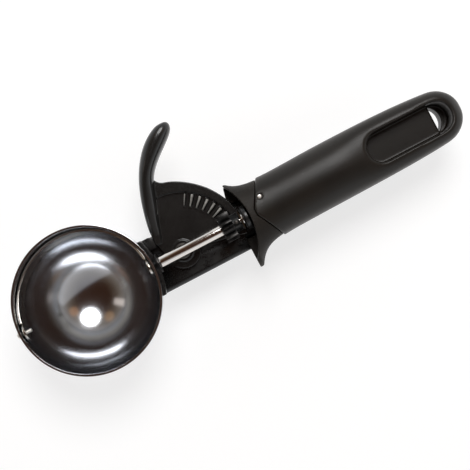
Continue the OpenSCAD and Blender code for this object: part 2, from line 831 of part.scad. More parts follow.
module handle_pin() {
    reach = guard_top(pin_x, pin_y) + 0.1;
    color("silver") place()
        translate([pin_x, pin_y, handle_z - reach]) cylinder(r = handle_pin_r, h = 2 * reach);
}

// ---------- nodes ----------

bowl();
bowl_saddle();
far_pivot_pin();
frame();
front_bushing();
rear_bushing();
lever_rivet();
pivot_washer();
push_nut();
return_spring();
guard();
grip();
handle_pin();
lever();
lever_bush();
wiper_shaft();
wiper_blade();
pinion();
pinion_pin();
retaining_clip();
thrust_washer();
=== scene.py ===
# %% [markdown]
# # Lever ice cream scoop
#
# A steel bowl is brazed to a black channel frame. A black thumb lever with a toothed sector
# turns a small pinion on a bright shaft, and the shaft sweeps a thin blade round the inside of
# the bowl. The handle is moulded plastic in two pieces, a guard and a grip.
#
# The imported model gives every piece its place. It could be shown as it is, but its facets would
# be kinks in polished steel and its sharp edges would look like cut card. So the pieces whose
# form needs smoother faces are modelled again on top of it, the others get softer edges, and
# every piece gets a material that is named for what the real one is made of.

import json
import math
import bmesh
import bpy
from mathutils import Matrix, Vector

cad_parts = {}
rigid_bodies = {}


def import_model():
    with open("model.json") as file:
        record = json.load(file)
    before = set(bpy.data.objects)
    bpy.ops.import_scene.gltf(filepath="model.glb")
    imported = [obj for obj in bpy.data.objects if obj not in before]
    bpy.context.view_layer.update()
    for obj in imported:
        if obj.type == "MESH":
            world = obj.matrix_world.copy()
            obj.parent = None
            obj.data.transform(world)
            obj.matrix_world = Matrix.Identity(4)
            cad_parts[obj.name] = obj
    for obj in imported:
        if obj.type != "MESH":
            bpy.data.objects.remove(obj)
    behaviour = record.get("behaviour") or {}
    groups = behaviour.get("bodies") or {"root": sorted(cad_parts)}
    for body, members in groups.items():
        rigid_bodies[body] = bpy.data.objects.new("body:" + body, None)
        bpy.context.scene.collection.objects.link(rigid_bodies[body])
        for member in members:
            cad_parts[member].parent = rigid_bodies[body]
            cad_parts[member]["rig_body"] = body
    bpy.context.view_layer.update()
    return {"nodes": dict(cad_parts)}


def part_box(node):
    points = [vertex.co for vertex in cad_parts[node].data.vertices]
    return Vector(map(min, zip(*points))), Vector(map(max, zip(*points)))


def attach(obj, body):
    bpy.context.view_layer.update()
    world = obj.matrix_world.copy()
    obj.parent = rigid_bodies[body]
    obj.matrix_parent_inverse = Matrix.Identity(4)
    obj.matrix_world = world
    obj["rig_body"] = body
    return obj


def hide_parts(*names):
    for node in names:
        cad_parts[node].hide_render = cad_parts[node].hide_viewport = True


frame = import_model()
nodes = frame["nodes"]
bpy.context.scene.view_settings.view_transform = "Standard"
print("nodes:", len(nodes))

# %% [markdown]
# ## Units and places
#
# Blender works in metres, and the drawing of a scoop works in millimetres, so one small factor
# turns one into the other. Sizes are written as a maker would say them, measured from the
# centre of the bowl with the shaft along X. The centre of the hanging eye is the origin of the
# part, so place() moves each point there.

# %% Sizes that several pieces share
MM = 0.001                 # one millimetre in Blender's metres
EYE_X = 172.5              # the hanging eye
HANDLE_Z = -6.0            # the handle's middle lies this far below the shaft
BOWL_R = 33.0              # outside of the bowl
SHAFT_R = 2.5
PIVOT_X = 46.6             # the rivet that the lever turns on
TOOTH_TOP = -4.95          # height of the tops of the sector's teeth


def place(x, y, z):
    """A point given in millimetres about the centre of the bowl, as a place in the part."""
    return Vector((x - EYE_X, y, z - HANDLE_Z)) * MM


BOWL_CENTRE = place(0, 0, 0)
print("bowl:", 2 * BOWL_R, "mm across, with its centre at", [round(c, 4) for c in BOWL_CENTRE])

# %% [markdown]
# ## Colours and shader nodes
#
# A colour is written as the hex value that a screen shows, and one function turns it into the
# linear values that light is worked out in. Materials could be joined up by mouse in the shader
# editor. A function that adds a node together with its settings and links does the same in a
# line, which keeps each material short enough to be read.

# %% Helpers for materials
def linear(colour):
    """A colour written as sRGB hex, as the linear values that a shader takes."""
    values = [int(colour[i:i + 2], 16) / 255 for i in (1, 3, 5)]
    return [v / 12.92 if v <= 0.04045 else ((v + 0.055) / 1.055) ** 2.4 for v in values] + [1.0]


def add_node(tree, kind, settings=None, values=None, links=None):
    """A shader node with its settings, the values of its sockets and what they are linked to."""
    made = tree.nodes.new(kind)
    for name, value in (settings or {}).items():
        setattr(made, name, value)
    for name, value in (values or {}).items():
        made.inputs[name].default_value = value
    for name, source in (links or {}).items():
        tree.links.new(source, made.inputs[name])
    return made


def new_material(name):
    """An empty material, its node tree and its output node."""
    material = bpy.data.materials.new(name)
    material.use_nodes = True
    tree = material.node_tree
    tree.nodes.clear()
    return material, tree, tree.nodes.new("ShaderNodeOutputMaterial")


print("a middle grey of #808080 is", round(linear("#808080")[0], 3), "in light")

# %% [markdown]
# ## Where a pattern lies
#
# Polishing, turning and grinding each leave marks in a direction of their own. A pattern that
# only changes along an axis and away from it looks like the marks of a lathe, and one that
# reads plain object coordinates looks like grain. Painted images could carry both, but they
# would need a flat map of every piece, and numbers in millimetres need none.

# %% Helpers for patterns
def point_on_piece(tree, centre=(0, 0, 0), keep=(1, 1, 1)):
    """Object coordinates measured from a centre. An axis that keep sets to 0 is left out."""
    coordinates = add_node(tree, "ShaderNodeTexCoord")
    away = [-c * k for c, k in zip(centre, keep)]
    return add_node(tree, "ShaderNodeMapping", values={"Location": away, "Scale": keep},
                    links={"Vector": coordinates.outputs["Object"]}).outputs["Vector"]


def distance_from(tree, centre, axis):
    """How far a point is from an axis that runs through a centre."""
    keep = [0 if i == axis else 1 for i in range(3)]
    return add_node(tree, "ShaderNodeVectorMath", {"operation": "LENGTH"},
                    links={0: point_on_piece(tree, centre, keep)}).outputs["Value"]


def distance_along(tree, centre, axis):
    """How far a point is from a centre, measured along an axis."""
    split = add_node(tree, "ShaderNodeSeparateXYZ", links={"Vector": point_on_piece(tree, centre)})
    return split.outputs["XYZ"[axis]]


def lathe_marks(tree, centre, axis):
    """Coordinates that only change along an axis and away from it."""
    return add_node(tree, "ShaderNodeCombineXYZ",
                    links={"X": distance_from(tree, centre, axis),
                           "Y": distance_along(tree, centre, axis)}).outputs["Vector"]


def noise(tree, size_mm, where, detail, **values):
    """A noise whose lumps are about as large as a size in millimetres."""
    values = {"Scale": 1 / (size_mm * MM), "Detail": detail, **values}
    return add_node(tree, "ShaderNodeTexNoise", values=values,
                    links={"Vector": where}).outputs["Fac"]


def ramp(tree, source, low, high, out_low=0.0, out_high=1.0):
    """A value that goes from one number to another while its source goes from low to high."""
    return add_node(tree, "ShaderNodeMapRange",
                    values={"From Min": low, "From Max": high,
                            "To Min": out_low, "To Max": out_high},
                    links={"Value": source}).outputs["Result"]


def times(tree, one, other):
    """The product of two values."""
    return add_node(tree, "ShaderNodeMath", {"operation": "MULTIPLY"},
                    links={0: one, 1: other}).outputs[0]


print("lumps of 1 mm are a noise with a scale of", round(1 / MM))

# %% [markdown]
# ## One recipe for every finish
#
# Real surfaces are never of one tone. Each finish gets a fine grain that varies its roughness
# and raises a low bump, and a slow drift of its tone. Handling wears the outer edges first, so
# a mask finds where the surface bends outwards and breaks it up with coarser patches. One
# function builds them all, since what differs between steel, enamel and plastic is numbers.

# %% The recipe
PROUD = (0.52, 0.58)       # pointiness at which an edge begins to be worn, and is quite worn
PATCH_MM = 3               # size of the patches that break up a worn edge
DRIFT_MM = 12              # size of the patches over which the tone drifts
NOISE_SPAN = (0.3, 0.7)    # nearly all of a noise lies between these
NOISE_CORE = (0.35, 0.65)  # and most of it between these


def worn_edges(tree):
    """Where handling has rubbed the surface: its outer edges, broken up by patches."""
    shape = add_node(tree, "ShaderNodeNewGeometry").outputs["Pointiness"]
    patches = noise(tree, PATCH_MM, point_on_piece(tree), 4.0)
    return times(tree, ramp(tree, shape, *PROUD), ramp(tree, patches, *NOISE_CORE))


def finish_material(name, base, metallic, roughness, grain_mm, rough_spread, bump_mm,
                    tone_spread=0.0, marks=None, wear_or_painted_light=None, wear_or_painted_light_mask=worn_edges, ior=None,
                    shine=0.5):
    """A surface whose grain varies its roughness and raises a low bump, and whose tone drifts.

    marks gives the centre and the axis of lathe marks. The argument for wear gives the colour,
    metallic and roughness of what shows where its mask says: edges rubbed through on most
    finishes, painted highlight and wear on the teeth, and painted shade on the shaft. shine is how
    strongly a surface that isn't metal mirrors at its skin."""
    material, tree, output = new_material(name)
    where = lathe_marks(tree, *marks) if marks else point_on_piece(tree)
    grain = noise(tree, grain_mm, where, 4.0, Roughness=0.6)
    rough = ramp(tree, grain, *NOISE_SPAN, roughness - rough_spread, roughness + rough_spread)
    drift = noise(tree, DRIFT_MM, point_on_piece(tree), 3.0)
    tone = add_node(tree, "ShaderNodeValToRGB", links={"Fac": drift})
    for element, position, factor in zip(tone.color_ramp.elements, NOISE_CORE,
                                         (1 - tone_spread, 1 + tone_spread)):
        element.position = position
        element.color = [min(1, c * factor) for c in linear(base)[:3]] + [1]
    colour = tone.outputs["Color"]
    shader = add_node(tree, "ShaderNodeBsdfPrincipled",
                      values={"Metallic": metallic, "Specular IOR Level": shine})
    if ior:
        shader.inputs["IOR"].default_value = ior
    # this colour is edge wear on most finishes, painted highlight and wear on the teeth, and
    # painted shade on the shaft
    if wear_or_painted_light:
        overlay_colour, overlay_metallic, overlay_roughness = wear_or_painted_light
        mask = wear_or_painted_light_mask(tree)
        colour = add_node(tree, "ShaderNodeMix", {"data_type": "RGBA"}, {7: linear(overlay_colour)},
                          {0: mask, 6: colour}).outputs[2]
        rough = add_node(tree, "ShaderNodeMix", None, {3: overlay_roughness},
                         {0: mask, 2: rough}).outputs[0]
        if overlay_metallic != metallic:
            metal = ramp(tree, mask, 0.0, 1.0, metallic, overlay_metallic)
            tree.links.new(metal, shader.inputs["Metallic"])
    bump = add_node(tree, "ShaderNodeBump", values={"Strength": 1.0, "Distance": bump_mm * MM},
                    links={"Height": grain})
    tree.links.new(colour, shader.inputs["Base Color"])
    tree.links.new(rough, shader.inputs["Roughness"])
    tree.links.new(bump.outputs["Normal"], shader.inputs["Normal"])
    tree.links.new(shader.outputs["BSDF"], output.inputs["Surface"])
    print("material:", name)
    return material


# %% [markdown]
# ## Bright metals
#
# The bowl is stainless steel that was spun and then polished on a wheel, so it mirrors the room
# in rings with only a trace of the lathe left. The blade is rolled strip, the shaft is ground
# rod, and both mirror the room a little less sharply. The shaft's end inside the rim is painted
# dark and dull as painted shade, which a mask by the distance from the bowl's axis finds.

# %% Materials of the bright pieces
SHAFT_SHADE_FADE = (1.5, 0.5)          # how far past the bowl the painted shade on the shaft fades out


def shaft_end_painted_shade(tree):
    """The part of the shaft inside the bowl's rim, painted darker and duller as painted shade."""
    away = distance_from(tree, BOWL_CENTRE, 2)
    return ramp(tree, away, *((BOWL_R + m) * MM for m in SHAFT_SHADE_FADE))


# spun stainless steel, polished: a mirror with very fine rings, each about 0.4 mm wide
polished_steel = finish_material(
    "spun and polished stainless steel", "#c0c2c6", metallic=1.0, roughness=0.15,
    grain_mm=0.4, rough_spread=0.03, bump_mm=0.0004, tone_spread=0.04, marks=(BOWL_CENTRE, 2))
# cold rolled stainless strip: duller than the bowl, with marks along its edge
blade_steel = finish_material(
    "rolled stainless steel strip", "#cdc9c2", metallic=1.0, roughness=0.2,
    grain_mm=0.25, rough_spread=0.05, bump_mm=0.0008, tone_spread=0.04, marks=(BOWL_CENTRE, 0))
# centreless ground rod: fine marks round the shaft, and painted shade darkening its end inside the
# bowl
shaft_steel = finish_material(
    "ground stainless steel rod", "#dad5d0", metallic=1.0, roughness=0.13,
    grain_mm=0.2, rough_spread=0.05, bump_mm=0.001, tone_spread=0.04, marks=(BOWL_CENTRE, 0),
    wear_or_painted_light=("#3c3a37", 1.0, 0.5), wear_or_painted_light_mask=shaft_end_painted_shade)
# cold headed steel: the domed ends of the pins, matt from the barrel
pin_steel = finish_material(
    "cold headed steel pin", "#e4e0da", metallic=1.0, roughness=0.4,
    grain_mm=0.3, rough_spread=0.05, bump_mm=0.0015, tone_spread=0.06)
# drawn spring wire, with its grey draw marks
spring_steel = finish_material(
    "drawn spring steel wire", "#8f8b84", metallic=1.0, roughness=0.35,
    grain_mm=0.2, rough_spread=0.05, bump_mm=0.001, tone_spread=0.1)
# sintered bronze, dark with oil
bronze = finish_material(
    "oiled sintered bronze", "#33271a", metallic=1.0, roughness=0.48,
    grain_mm=0.2, rough_spread=0.06, bump_mm=0.001, tone_spread=0.15)

# %% [markdown]
# ## Black pieces
#
# The frame is pressed steel with a gloss black coat, the lever is a casting with a satin one,
# and the small gear is steel blackened in a bath of salts. The coat wears through on the teeth
# first, where the pinion rubs them, and their tops are painted light grey as well, a painted
# highlight, so a mask finds their tops by height and by distance from the pivot. The handle is
# polypropylene from a mould with a fine spark-eroded skin: a warm near-black that is satin rather
# than glossy.

# %% Materials of the black pieces
# where the light tooth tops, worn and painted highlight, begin, are full, are still full and have
# ended, in millimetres
TOOTH_TOPS_AWAY = (19.5, 20.0, 25.5, 26.0)                             # from the pivot
TOOTH_TOPS_HEIGHT = [TOOTH_TOP + up for up in (-0.9, -0.2, 0.15, 0.3)]
TOOTH_PATCH_MM = 1.5                                                     # size of the patches that break up the light tops


def window(tree, source, edges):
    """A mask that is 1 between the two middle edges and fades out to the outer two."""
    begins, full, still_full, ended = (edge * MM for edge in edges)
    return times(tree, ramp(tree, source, begins, full), ramp(tree, source, ended, still_full))


def teeth_wear_and_highlight(tree):
    """The tops of the sector's teeth, unevenly rubbed and painted lighter as a painted highlight.
    """
    pivot = place(PIVOT_X, 0, 0)
    band = window(tree, distance_from(tree, pivot, 2), TOOTH_TOPS_AWAY)
    tops = times(tree, band, window(tree, distance_along(tree, pivot, 2), TOOTH_TOPS_HEIGHT))
    patches = noise(tree, TOOTH_PATCH_MM, point_on_piece(tree), 3.0)
    return times(tree, tops, ramp(tree, patches, 0.3, 0.6, 0.35, 1.0))


# gloss black stove enamel over pressed steel: deep black with a slight orange peel of 0.8 mm
black_enamel = finish_material(
    "gloss black stove enamel", "#0b0b0b", metallic=0.0, roughness=0.26,
    grain_mm=0.8, rough_spread=0.05, bump_mm=0.003, tone_spread=0.15, wear_or_painted_light=("#232221", 0.4, 0.4))
# satin black enamel over a casting, with the sand of the mould just showing through
lever_enamel = finish_material(
    "satin black enamel on a casting", "#1c1b1a", metallic=0.0, roughness=0.22,
    grain_mm=0.8, rough_spread=0.05, bump_mm=0.005, tone_spread=0.2,
    # the teeth's light grey tops: wear where the pinion rubs, and painted highlight
    wear_or_painted_light=("#a3a19c", 0.6, 0.55), wear_or_painted_light_mask=teeth_wear_and_highlight)
# steel blackened in hot salts: thin, so the metal's own shine stays
black_oxide = finish_material(
    "black oxide on steel", "#171717", metallic=0.85, roughness=0.36,
    grain_mm=0.3, rough_spread=0.08, bump_mm=0.002, tone_spread=0.15, wear_or_painted_light=("#4a4847", 1.0, 0.34))
# the rivet's head and the cross pin: steel that has gone dull and grey with use
dull_steel = finish_material(
    "dulled headed steel", "#4e4b48", metallic=1.0, roughness=0.48,
    grain_mm=0.3, rough_spread=0.08, bump_mm=0.003, tone_spread=0.15)
# moulded polypropylene: satin, with a spark-eroded grain of 0.35 mm whose pits swallow part of
# the shine, and a little lighter where hands have rubbed its edges
moulded_plastic = finish_material(
    "spark-grained black polypropylene", "#17120c", metallic=0.0, roughness=0.38,
    grain_mm=0.35, rough_spread=0.06, bump_mm=0.008, tone_spread=0.15,
    wear_or_painted_light=("#1f1c19", 0.0, 0.33), ior=1.49, shine=0.33)
# the guard is from another mould with a coarser grain, and no hand has polished it
guard_plastic = finish_material(
    "coarse-grained black polypropylene", "#18130d", metallic=0.0, roughness=0.55,
    grain_mm=0.5, rough_spread=0.08, bump_mm=0.02, tone_spread=0.25,
    wear_or_painted_light=("#2a2623", 0.0, 0.45), ior=1.49, shine=0.25)

# %% [markdown]
# ## Modelling by hand
#
# Each new piece starts as a primitive and is shaped in edit mode. Its corners could be worked
# out in a table instead, but a cut or an extrusion says what is done and why. An operator acts
# on whatever is selected, so the selection is cleared first. The object's turn and place are
# applied to its mesh, so that the object itself sits at the origin.

# %% Helpers for modelling
WELD = 0.001 * MM          # corners closer than this are one corner
FINE_SPHERE = {"segments": 192, "ring_count": 96}


def only(obj):
    """Object mode, with one object selected and active."""
    if bpy.context.object and bpy.context.object.mode != "OBJECT":
        bpy.ops.object.mode_set(mode="OBJECT")
    bpy.ops.object.select_all(action="DESELECT")
    if obj:
        obj.select_set(True)
        bpy.context.view_layer.objects.active = obj


def start(name, adder, **settings):
    """Adds a primitive with nothing else selected and names it."""
    only(None)
    adder(**settings)
    made = bpy.context.object
    made.name = name
    made.data.name = name
    bpy.ops.object.transform_apply(location=True, rotation=True, scale=True)
    return made


def edit(obj):
    """Edit mode on one object, with all of its mesh selected."""
    only(obj)
    bpy.ops.object.mode_set(mode="EDIT")
    bpy.ops.mesh.select_mode(type="VERT")
    bpy.ops.mesh.select_all(action="SELECT")


def pick(obj, test):
    """In edit mode, selects the vertices whose place passes a test."""
    mesh = bmesh.from_edit_mesh(obj.data)
    bpy.ops.mesh.select_all(action="DESELECT")
    for vertex in mesh.verts:
        vertex.select_set(test(vertex.co))
    mesh.select_flush(True)
    bmesh.update_edit_mesh(obj.data)


def modify(obj, kind, **settings):
    """Adds a modifier with its settings and applies it at once."""
    only(obj)
    modifier = obj.modifiers.new(kind.lower(), kind)
    for name, value in settings.items():
        setattr(modifier, name, value)
    bpy.ops.object.modifier_apply(modifier=modifier.name)


def cut(obj, tool, operation="DIFFERENCE"):
    """Cuts a tool away from a piece, or joins it on, and removes the tool."""
    modify(obj, "BOOLEAN", operation=operation, solver="EXACT", object=tool)
    bpy.data.objects.remove(tool)


def soften(obj, width, segments, degrees, **settings):
    """Bevels the edges where the surface turns by more than this, by a width in millimetres."""
    modify(obj, "BEVEL", width=width * MM, segments=segments, limit_method="ANGLE",
           angle_limit=math.radians(degrees), **settings)


def round_off(obj, voxel, rounds):
    """Remeshes a piece into small even faces and smooths them, as a mould rounds every edge."""
    modify(obj, "REMESH", mode="VOXEL", voxel_size=voxel * MM)
    modify(obj, "SMOOTH", factor=0.5, iterations=rounds)


def shade(obj, degrees=180):
    """Smooth shading, with a hard line only where the surface turns by more than this."""
    only(obj)
    bpy.ops.object.shade_smooth_by_angle(angle=math.radians(degrees))


def fit(obj, node, material):
    """The finished piece stands for a node of the model, rides on its body and takes a finish."""
    edit(obj)
    bpy.ops.mesh.remove_doubles(threshold=WELD)
    bpy.ops.mesh.dissolve_degenerate(threshold=WELD)
    only(obj)
    obj.data.materials.clear()
    obj.data.materials.append(material)
    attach(obj, nodes[node]["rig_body"])
    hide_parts(node)
    print("made:", obj.name, "with", len(obj.data.polygons), "faces")


print("corners closer than", WELD / MM, "mm are welded")

# %% [markdown]
# ## Tools for holes and slots
#
# Holes, ears and slots are all cut or joined with three plain forms, as a toolmaker would: an
# upright cylinder, a rod on the shaft's line and a box. A cut between solids keeps the piece
# closed, where deleting faces and filling the gap by hand would have to be done anew for
# every change of size.

# %% Helpers for tools
CLEAR = 60                 # a tool reaches this far out, clear of the part


def cylinder(name, radius, x, y, low, high, vertices=64):
    """An upright cylinder between two heights."""
    return start(name, bpy.ops.mesh.primitive_cylinder_add, vertices=vertices, radius=radius * MM,
                 depth=(high - low) * MM, location=place(x, y, (low + high) / 2))


def rod(name, radius, x, length, vertices=48):
    """A cylinder along the shaft's own line, with its middle at x."""
    return start(name, bpy.ops.mesh.primitive_cylinder_add, vertices=vertices, radius=radius * MM,
                 depth=length * MM, location=place(x, 0, 0), rotation=(0, math.pi / 2, 0))


def block(name, low, high):
    """A box between two corners given in millimetres."""
    low, high = place(*low), place(*high)
    return start(name, bpy.ops.mesh.primitive_cube_add, size=1, location=(low + high) / 2,
                 scale=high - low)


print("tools reach", CLEAR, "mm out")

# %% [markdown]
# ## Bowl
#
# The bowl mirrors everything, so any flat facet would show as a kink in its rings of light. A
# profile spun round an axis would do as well, but a finely divided sphere is round already: it
# is cut at its middle, drawn up to the rim and given its wall. The rim of the real one is
# ground flat and its corners are only just broken. Two holes let the shaft and the pin through.

# %% Model the bowl
BOWL_WALL = 1.0
RIM_H = 5.0                # the rim stands this far above the shaft's line
RIM_EDGE = 0.1
SHAFT_GAP = 0.2
PIN_R = 0.8
THROUGH = 8                # a rod this long goes right through the wall
bowl = start("bowl_shell", bpy.ops.mesh.primitive_uv_sphere_add, radius=BOWL_R * MM,
             location=BOWL_CENTRE, **FINE_SPHERE)
edit(bowl)
bpy.ops.mesh.bisect(plane_co=BOWL_CENTRE, plane_no=(0, 0, 1), clear_outer=True)
bpy.ops.mesh.extrude_region_move(TRANSFORM_OT_translate={"value": (0, 0, RIM_H * MM)})
modify(bowl, "SOLIDIFY", thickness=BOWL_WALL * MM, offset=-1, use_even_offset=True)
soften(bowl, RIM_EDGE, 2, 60)
cut(bowl, rod("hole", SHAFT_R + SHAFT_GAP, BOWL_R, THROUGH))
cut(bowl, rod("pin_hole", PIN_R, -BOWL_R, THROUGH, 32))
shade(bowl, 35)
fit(bowl, "bowl", polished_steel)

# %% [markdown]
# ## Blade
#
# The blade is a strip of thin sheet that follows the inside of the bowl, with a round flat ear
# at each end. Bending a flat strip would stretch it, so it is cut from a sphere by five planes,
# gets its thickness inwards, and the ears are joined on. Its edges are eased, because a bright
# line of light runs along them.

# %% Model the blade
BLADE_R = 31.4
BLADE_W = 8.0
BLADE_T = 0.9
BLADE_NEAR = 3.6           # the strip begins this far from the shaft's line, inside the ears
EAR_X = 31.1
EAR_R = 4.0
EAR_BORES = ((-EAR_X + BLADE_T / 2, 0.9), (EAR_X - BLADE_T / 2, 1.5))     # place and radius
dip = math.radians(12)
side = Vector((0, math.cos(dip), -math.sin(dip)))        # where the middle of the blade lies
across = Vector((0, math.sin(dip), math.cos(dip)))       # across its width
blade = start("blade_strip", bpy.ops.mesh.primitive_uv_sphere_add, radius=BLADE_R * MM,
              location=BOWL_CENTRE, rotation=(-dip, 0, 0), **FINE_SPHERE)
edit(blade)
for offset, normal in ((BLADE_W / 2, across), (BLADE_W / 2, -across), (-BLADE_NEAR, -side),
                       (EAR_X, Vector((1, 0, 0))), (EAR_X, Vector((-1, 0, 0)))):
    bpy.ops.mesh.select_all(action="SELECT")
    bpy.ops.mesh.bisect(plane_co=BOWL_CENTRE + normal * offset * MM, plane_no=normal,
                        clear_outer=True)
modify(blade, "SOLIDIFY", thickness=BLADE_T * MM, offset=-1, use_even_offset=True)
for x, bore in EAR_BORES:
    cut(blade, rod("ear", EAR_R, x, BLADE_T, 64), "UNION")
    cut(blade, rod("bore", bore, x, 3, 32))
soften(blade, 0.15, 2, 50)
shade(blade, 35)
fit(blade, "wiper_blade", blade_steel)

# %% [markdown]
# ## Form of the handle
#
# Guard and grip are one flowing form that the mould parts near the front. Its half widths and
# half height change along X: a slim neck, a fuller belly, a flat taper to the eye, and wings
# that flare out at the front of the guard and die away backwards. Its section is nearly round
# at the neck and squarer at the eye. Written as functions, the two pieces share one skin.

# %% Half widths and half height along the handle
GUARD_X = 74.2
JOINT_X = 90.6
BELLY_X = 123.0
RECESS_X = 145.6           # the centre of the recess's front end
END_LEN = 13.2             # from the eye to the end of the grip
SHOULDER = 0.7             # the guard's skin stands back from the grip's by this
LEFT = (13.5, 14.1, 12.4)  # half width on the lever's side, at the joint, belly and eye
RIGHT = (14.4, 12.4)       # half width on the other side, at the joint and the eye
HIGH = (11.8, 12.4, 10.4)  # half height at the joint, the belly and the recess
ROUND, SQUARE = 1.0685, 1.2538
LEFT_WING = (4.8, 4.8, 2.2)     # how far it reaches out, how slowly it dies away, its tip
RIGHT_WING = (9.0, 4.7, 1.6)
LIP = (2.4, 5.0, 0)


def mix(a, b, t):
    """From a to b while t goes from 0 to 1."""
    return a + (b - a) * min(1, max(0, t))


def ease(t):
    """From 0 to 1 with a soft start and a soft stop."""
    return (1 - math.cos(math.pi * min(1, max(0, t)))) / 2


def flare(x, reach, run, tip):
    """What a wing adds at x: all of it as far as its tip, then less and less."""
    return reach * min(1, math.exp((GUARD_X + tip - x) / run))


def half_left(x):
    """Half width on the lever's side."""
    joint, belly, eye = LEFT
    if x < BELLY_X:
        body = mix(joint, belly, ease((x - JOINT_X) / (BELLY_X - JOINT_X)))
    else:
        body = mix(belly, eye, min(1, (x - BELLY_X) / (EYE_X - BELLY_X)) ** 3)
    return flare(x, *LEFT_WING) + body


def half_right(x):
    """Half width on the other side."""
    joint, eye = RIGHT
    t = min(1, max(0, (x - JOINT_X) / (EYE_X - JOINT_X)))
    return flare(x, *RIGHT_WING) + mix(joint, eye, (t + t ** 6) / 2)


def half_high(x):
    """Half height."""
    joint, belly, recess_end = HIGH
    if x < BELLY_X:
        body = mix(joint, belly, ease((x - JOINT_X) / (BELLY_X - JOINT_X)))
    else:
        body = mix(belly, recess_end, ease((x - BELLY_X) / (RECESS_X - BELLY_X)))
    return flare(x, *LIP) + body


def fullness(x):
    """How far the corners of a ring stand out, from nearly round to nearly square."""
    return mix(ROUND, SQUARE, ease((x - BELLY_X) / (RECESS_X - BELLY_X)))


print("handle at the joint:", round(half_left(JOINT_X), 2), round(half_right(JOINT_X), 2))

# %% [markdown]
# ## Rings of a cage
#
# The skin is drawn by a coarse cage that subdivision rounds off. Each corner of an eight-sided
# ring ends at four sixths of itself and one sixth of each neighbour, so the skin lies inside
# the cage. cage() makes a ring larger by just that, and the sizes stay those of the skin.

# %% Helpers for rings
def cage(size, full):
    """Half size of a ring before subdividing. full says how far its diagonal corners stand out."""
    return size * 6 / (4 + 2 ** 0.5 * full)


def station(x, under=0.0, closing=1.0, at=None):
    """The ring with the sizes of x, a depth under the skin, closed in by a factor, standing at x
    or elsewhere: its middle, half width, half height and fullness."""
    left, right, full = half_left(x) - under, half_right(x) - under, fullness(x)
    middle = place(x if at is None else at, closing * (left - right) / 2, HANDLE_Z)
    return (middle, cage(closing * (left + right) / 2, full),
            cage(closing * (half_high(x) - under), full), full)


print("a half width of 10 needs a cage of", round(cage(10, ROUND), 2))

# %% [markdown]
# ## A tube drawn ring by ring
#
# The tube starts as a filled circle with eight corners. Its end face is extruded again and
# again, scaled each time to the width and height that the piece has there, and its four
# diagonal corners are pushed out or in. Three levels of subdivision then turn the cage into a
# smooth skin. The handle is drawn this way along X, and the arm of the lever along Y.

# %% Helper for the tube
CORNERS = 8
DIAGONAL = 0.3             # a diagonal corner is this share of the half size off both axes


def loft(name, rings, axis=0):
    """A closed tube along X (axis 0) or Y (axis 1). Each ring gives its middle, half width, half
    height and fullness."""
    across = 1 - axis
    turn = (0, math.pi / 2, 0) if axis == 0 else (math.pi / 2, 0, 0)
    tube = start(name, bpy.ops.mesh.primitive_circle_add, vertices=CORNERS, radius=MM,
                 fill_type="NGON", location=rings[0][0], rotation=turn)
    edit(tube)
    before = (rings[0][0], 1, 1, 1)
    for middle, wide, high, full in rings:
        if middle != before[0]:
            step = middle - before[0]
            bpy.ops.mesh.extrude_region_move(TRANSFORM_OT_translate={"value": step})
        size = [1, 1, high / before[2]]
        size[across] = wide / before[1]
        bpy.ops.transform.resize(value=size, center_override=middle)
        mesh = bmesh.from_edit_mesh(tube.data)
        for v in [v for v in mesh.verts if v.select]:
            away = v.co - middle
            v.select_set(abs(away[across]) > DIAGONAL * wide * MM
                         and abs(away.z) > DIAGONAL * high * MM)
        mesh.select_flush(True)
        size = [1, 1, full / before[3]]
        size[across] = full / before[3]
        bpy.ops.transform.resize(value=size, center_override=middle)
        pick(tube, lambda p: abs(p[axis] - middle[axis]) < WELD)
        before = (middle, wide, high, full)
    bpy.ops.mesh.select_all(action="SELECT")
    bpy.ops.mesh.normals_make_consistent(inside=False)
    modify(tube, "SUBSURF", levels=3, render_levels=3)
    return tube


print("tubes are drawn with", CORNERS, "corners a ring")

# %% [markdown]
# ## The key between guard and grip
#
# The grip runs into the guard as a broad blunt tongue, which shows from above as a V. The same
# tool cuts both: it is taken out of the guard a little larger, and the grip keeps what lies
# inside it. Two pieces modelled apart would never meet so closely. The tool starts as a box
# behind the joint whose front face is extruded twice and narrowed.

# %% Helper for the tongue
TONGUE_X = 83.2            # its tip
TONGUE_W = 3.2             # half its width just behind the tip
ROOT = (-15.4, 14.5)       # both sides of its root
ROOT_SHIFT = 0.45          # brings the middle of the root to the middle of the handle
BACK_X = 200               # behind the end of the handle
TANG_SLOT = ((PIVOT_X, -8.7, -14.6), (126.5, 8.7, -9.6))


def grip_region(grow):
    """The space of the grip, with the tongue in front. grow makes it larger all round."""
    front = JOINT_X - grow
    tool = block("tongue", (front, ROOT[0], -CLEAR), (BACK_X, ROOT[1], CLEAR))
    edit(tool)
    pick(tool, lambda p: p.x > place(EYE_X, 0, 0).x)
    bpy.ops.transform.resize(value=(1, 4, 1), center_override=place(BACK_X, 0, 0))
    for x, half, shift in ((TONGUE_X + 1 - grow, TONGUE_W + grow, ROOT_SHIFT),
                           (TONGUE_X - grow, TONGUE_W / 2, 0)):
        pick(tool, lambda p: abs(p.x - place(front, 0, 0).x) < 0.01 * MM)
        sides = [v.co.y for v in bmesh.from_edit_mesh(tool.data).verts if v.select]
        width = max(sides) - min(sides)
        move = ((x - front) * MM, shift * MM, 0)
        bpy.ops.mesh.extrude_region_move(TRANSFORM_OT_translate={"value": move})
        bpy.ops.transform.resize(value=(1, 2 * half * MM / width, 1),
                                 center_override=place(x, 0, 0))
        front = x
    bpy.ops.mesh.select_all(action="SELECT")
    bpy.ops.mesh.normals_make_consistent(inside=False)
    return tool


print("tongue:", round(JOINT_X - TONGUE_X, 1), "mm long")

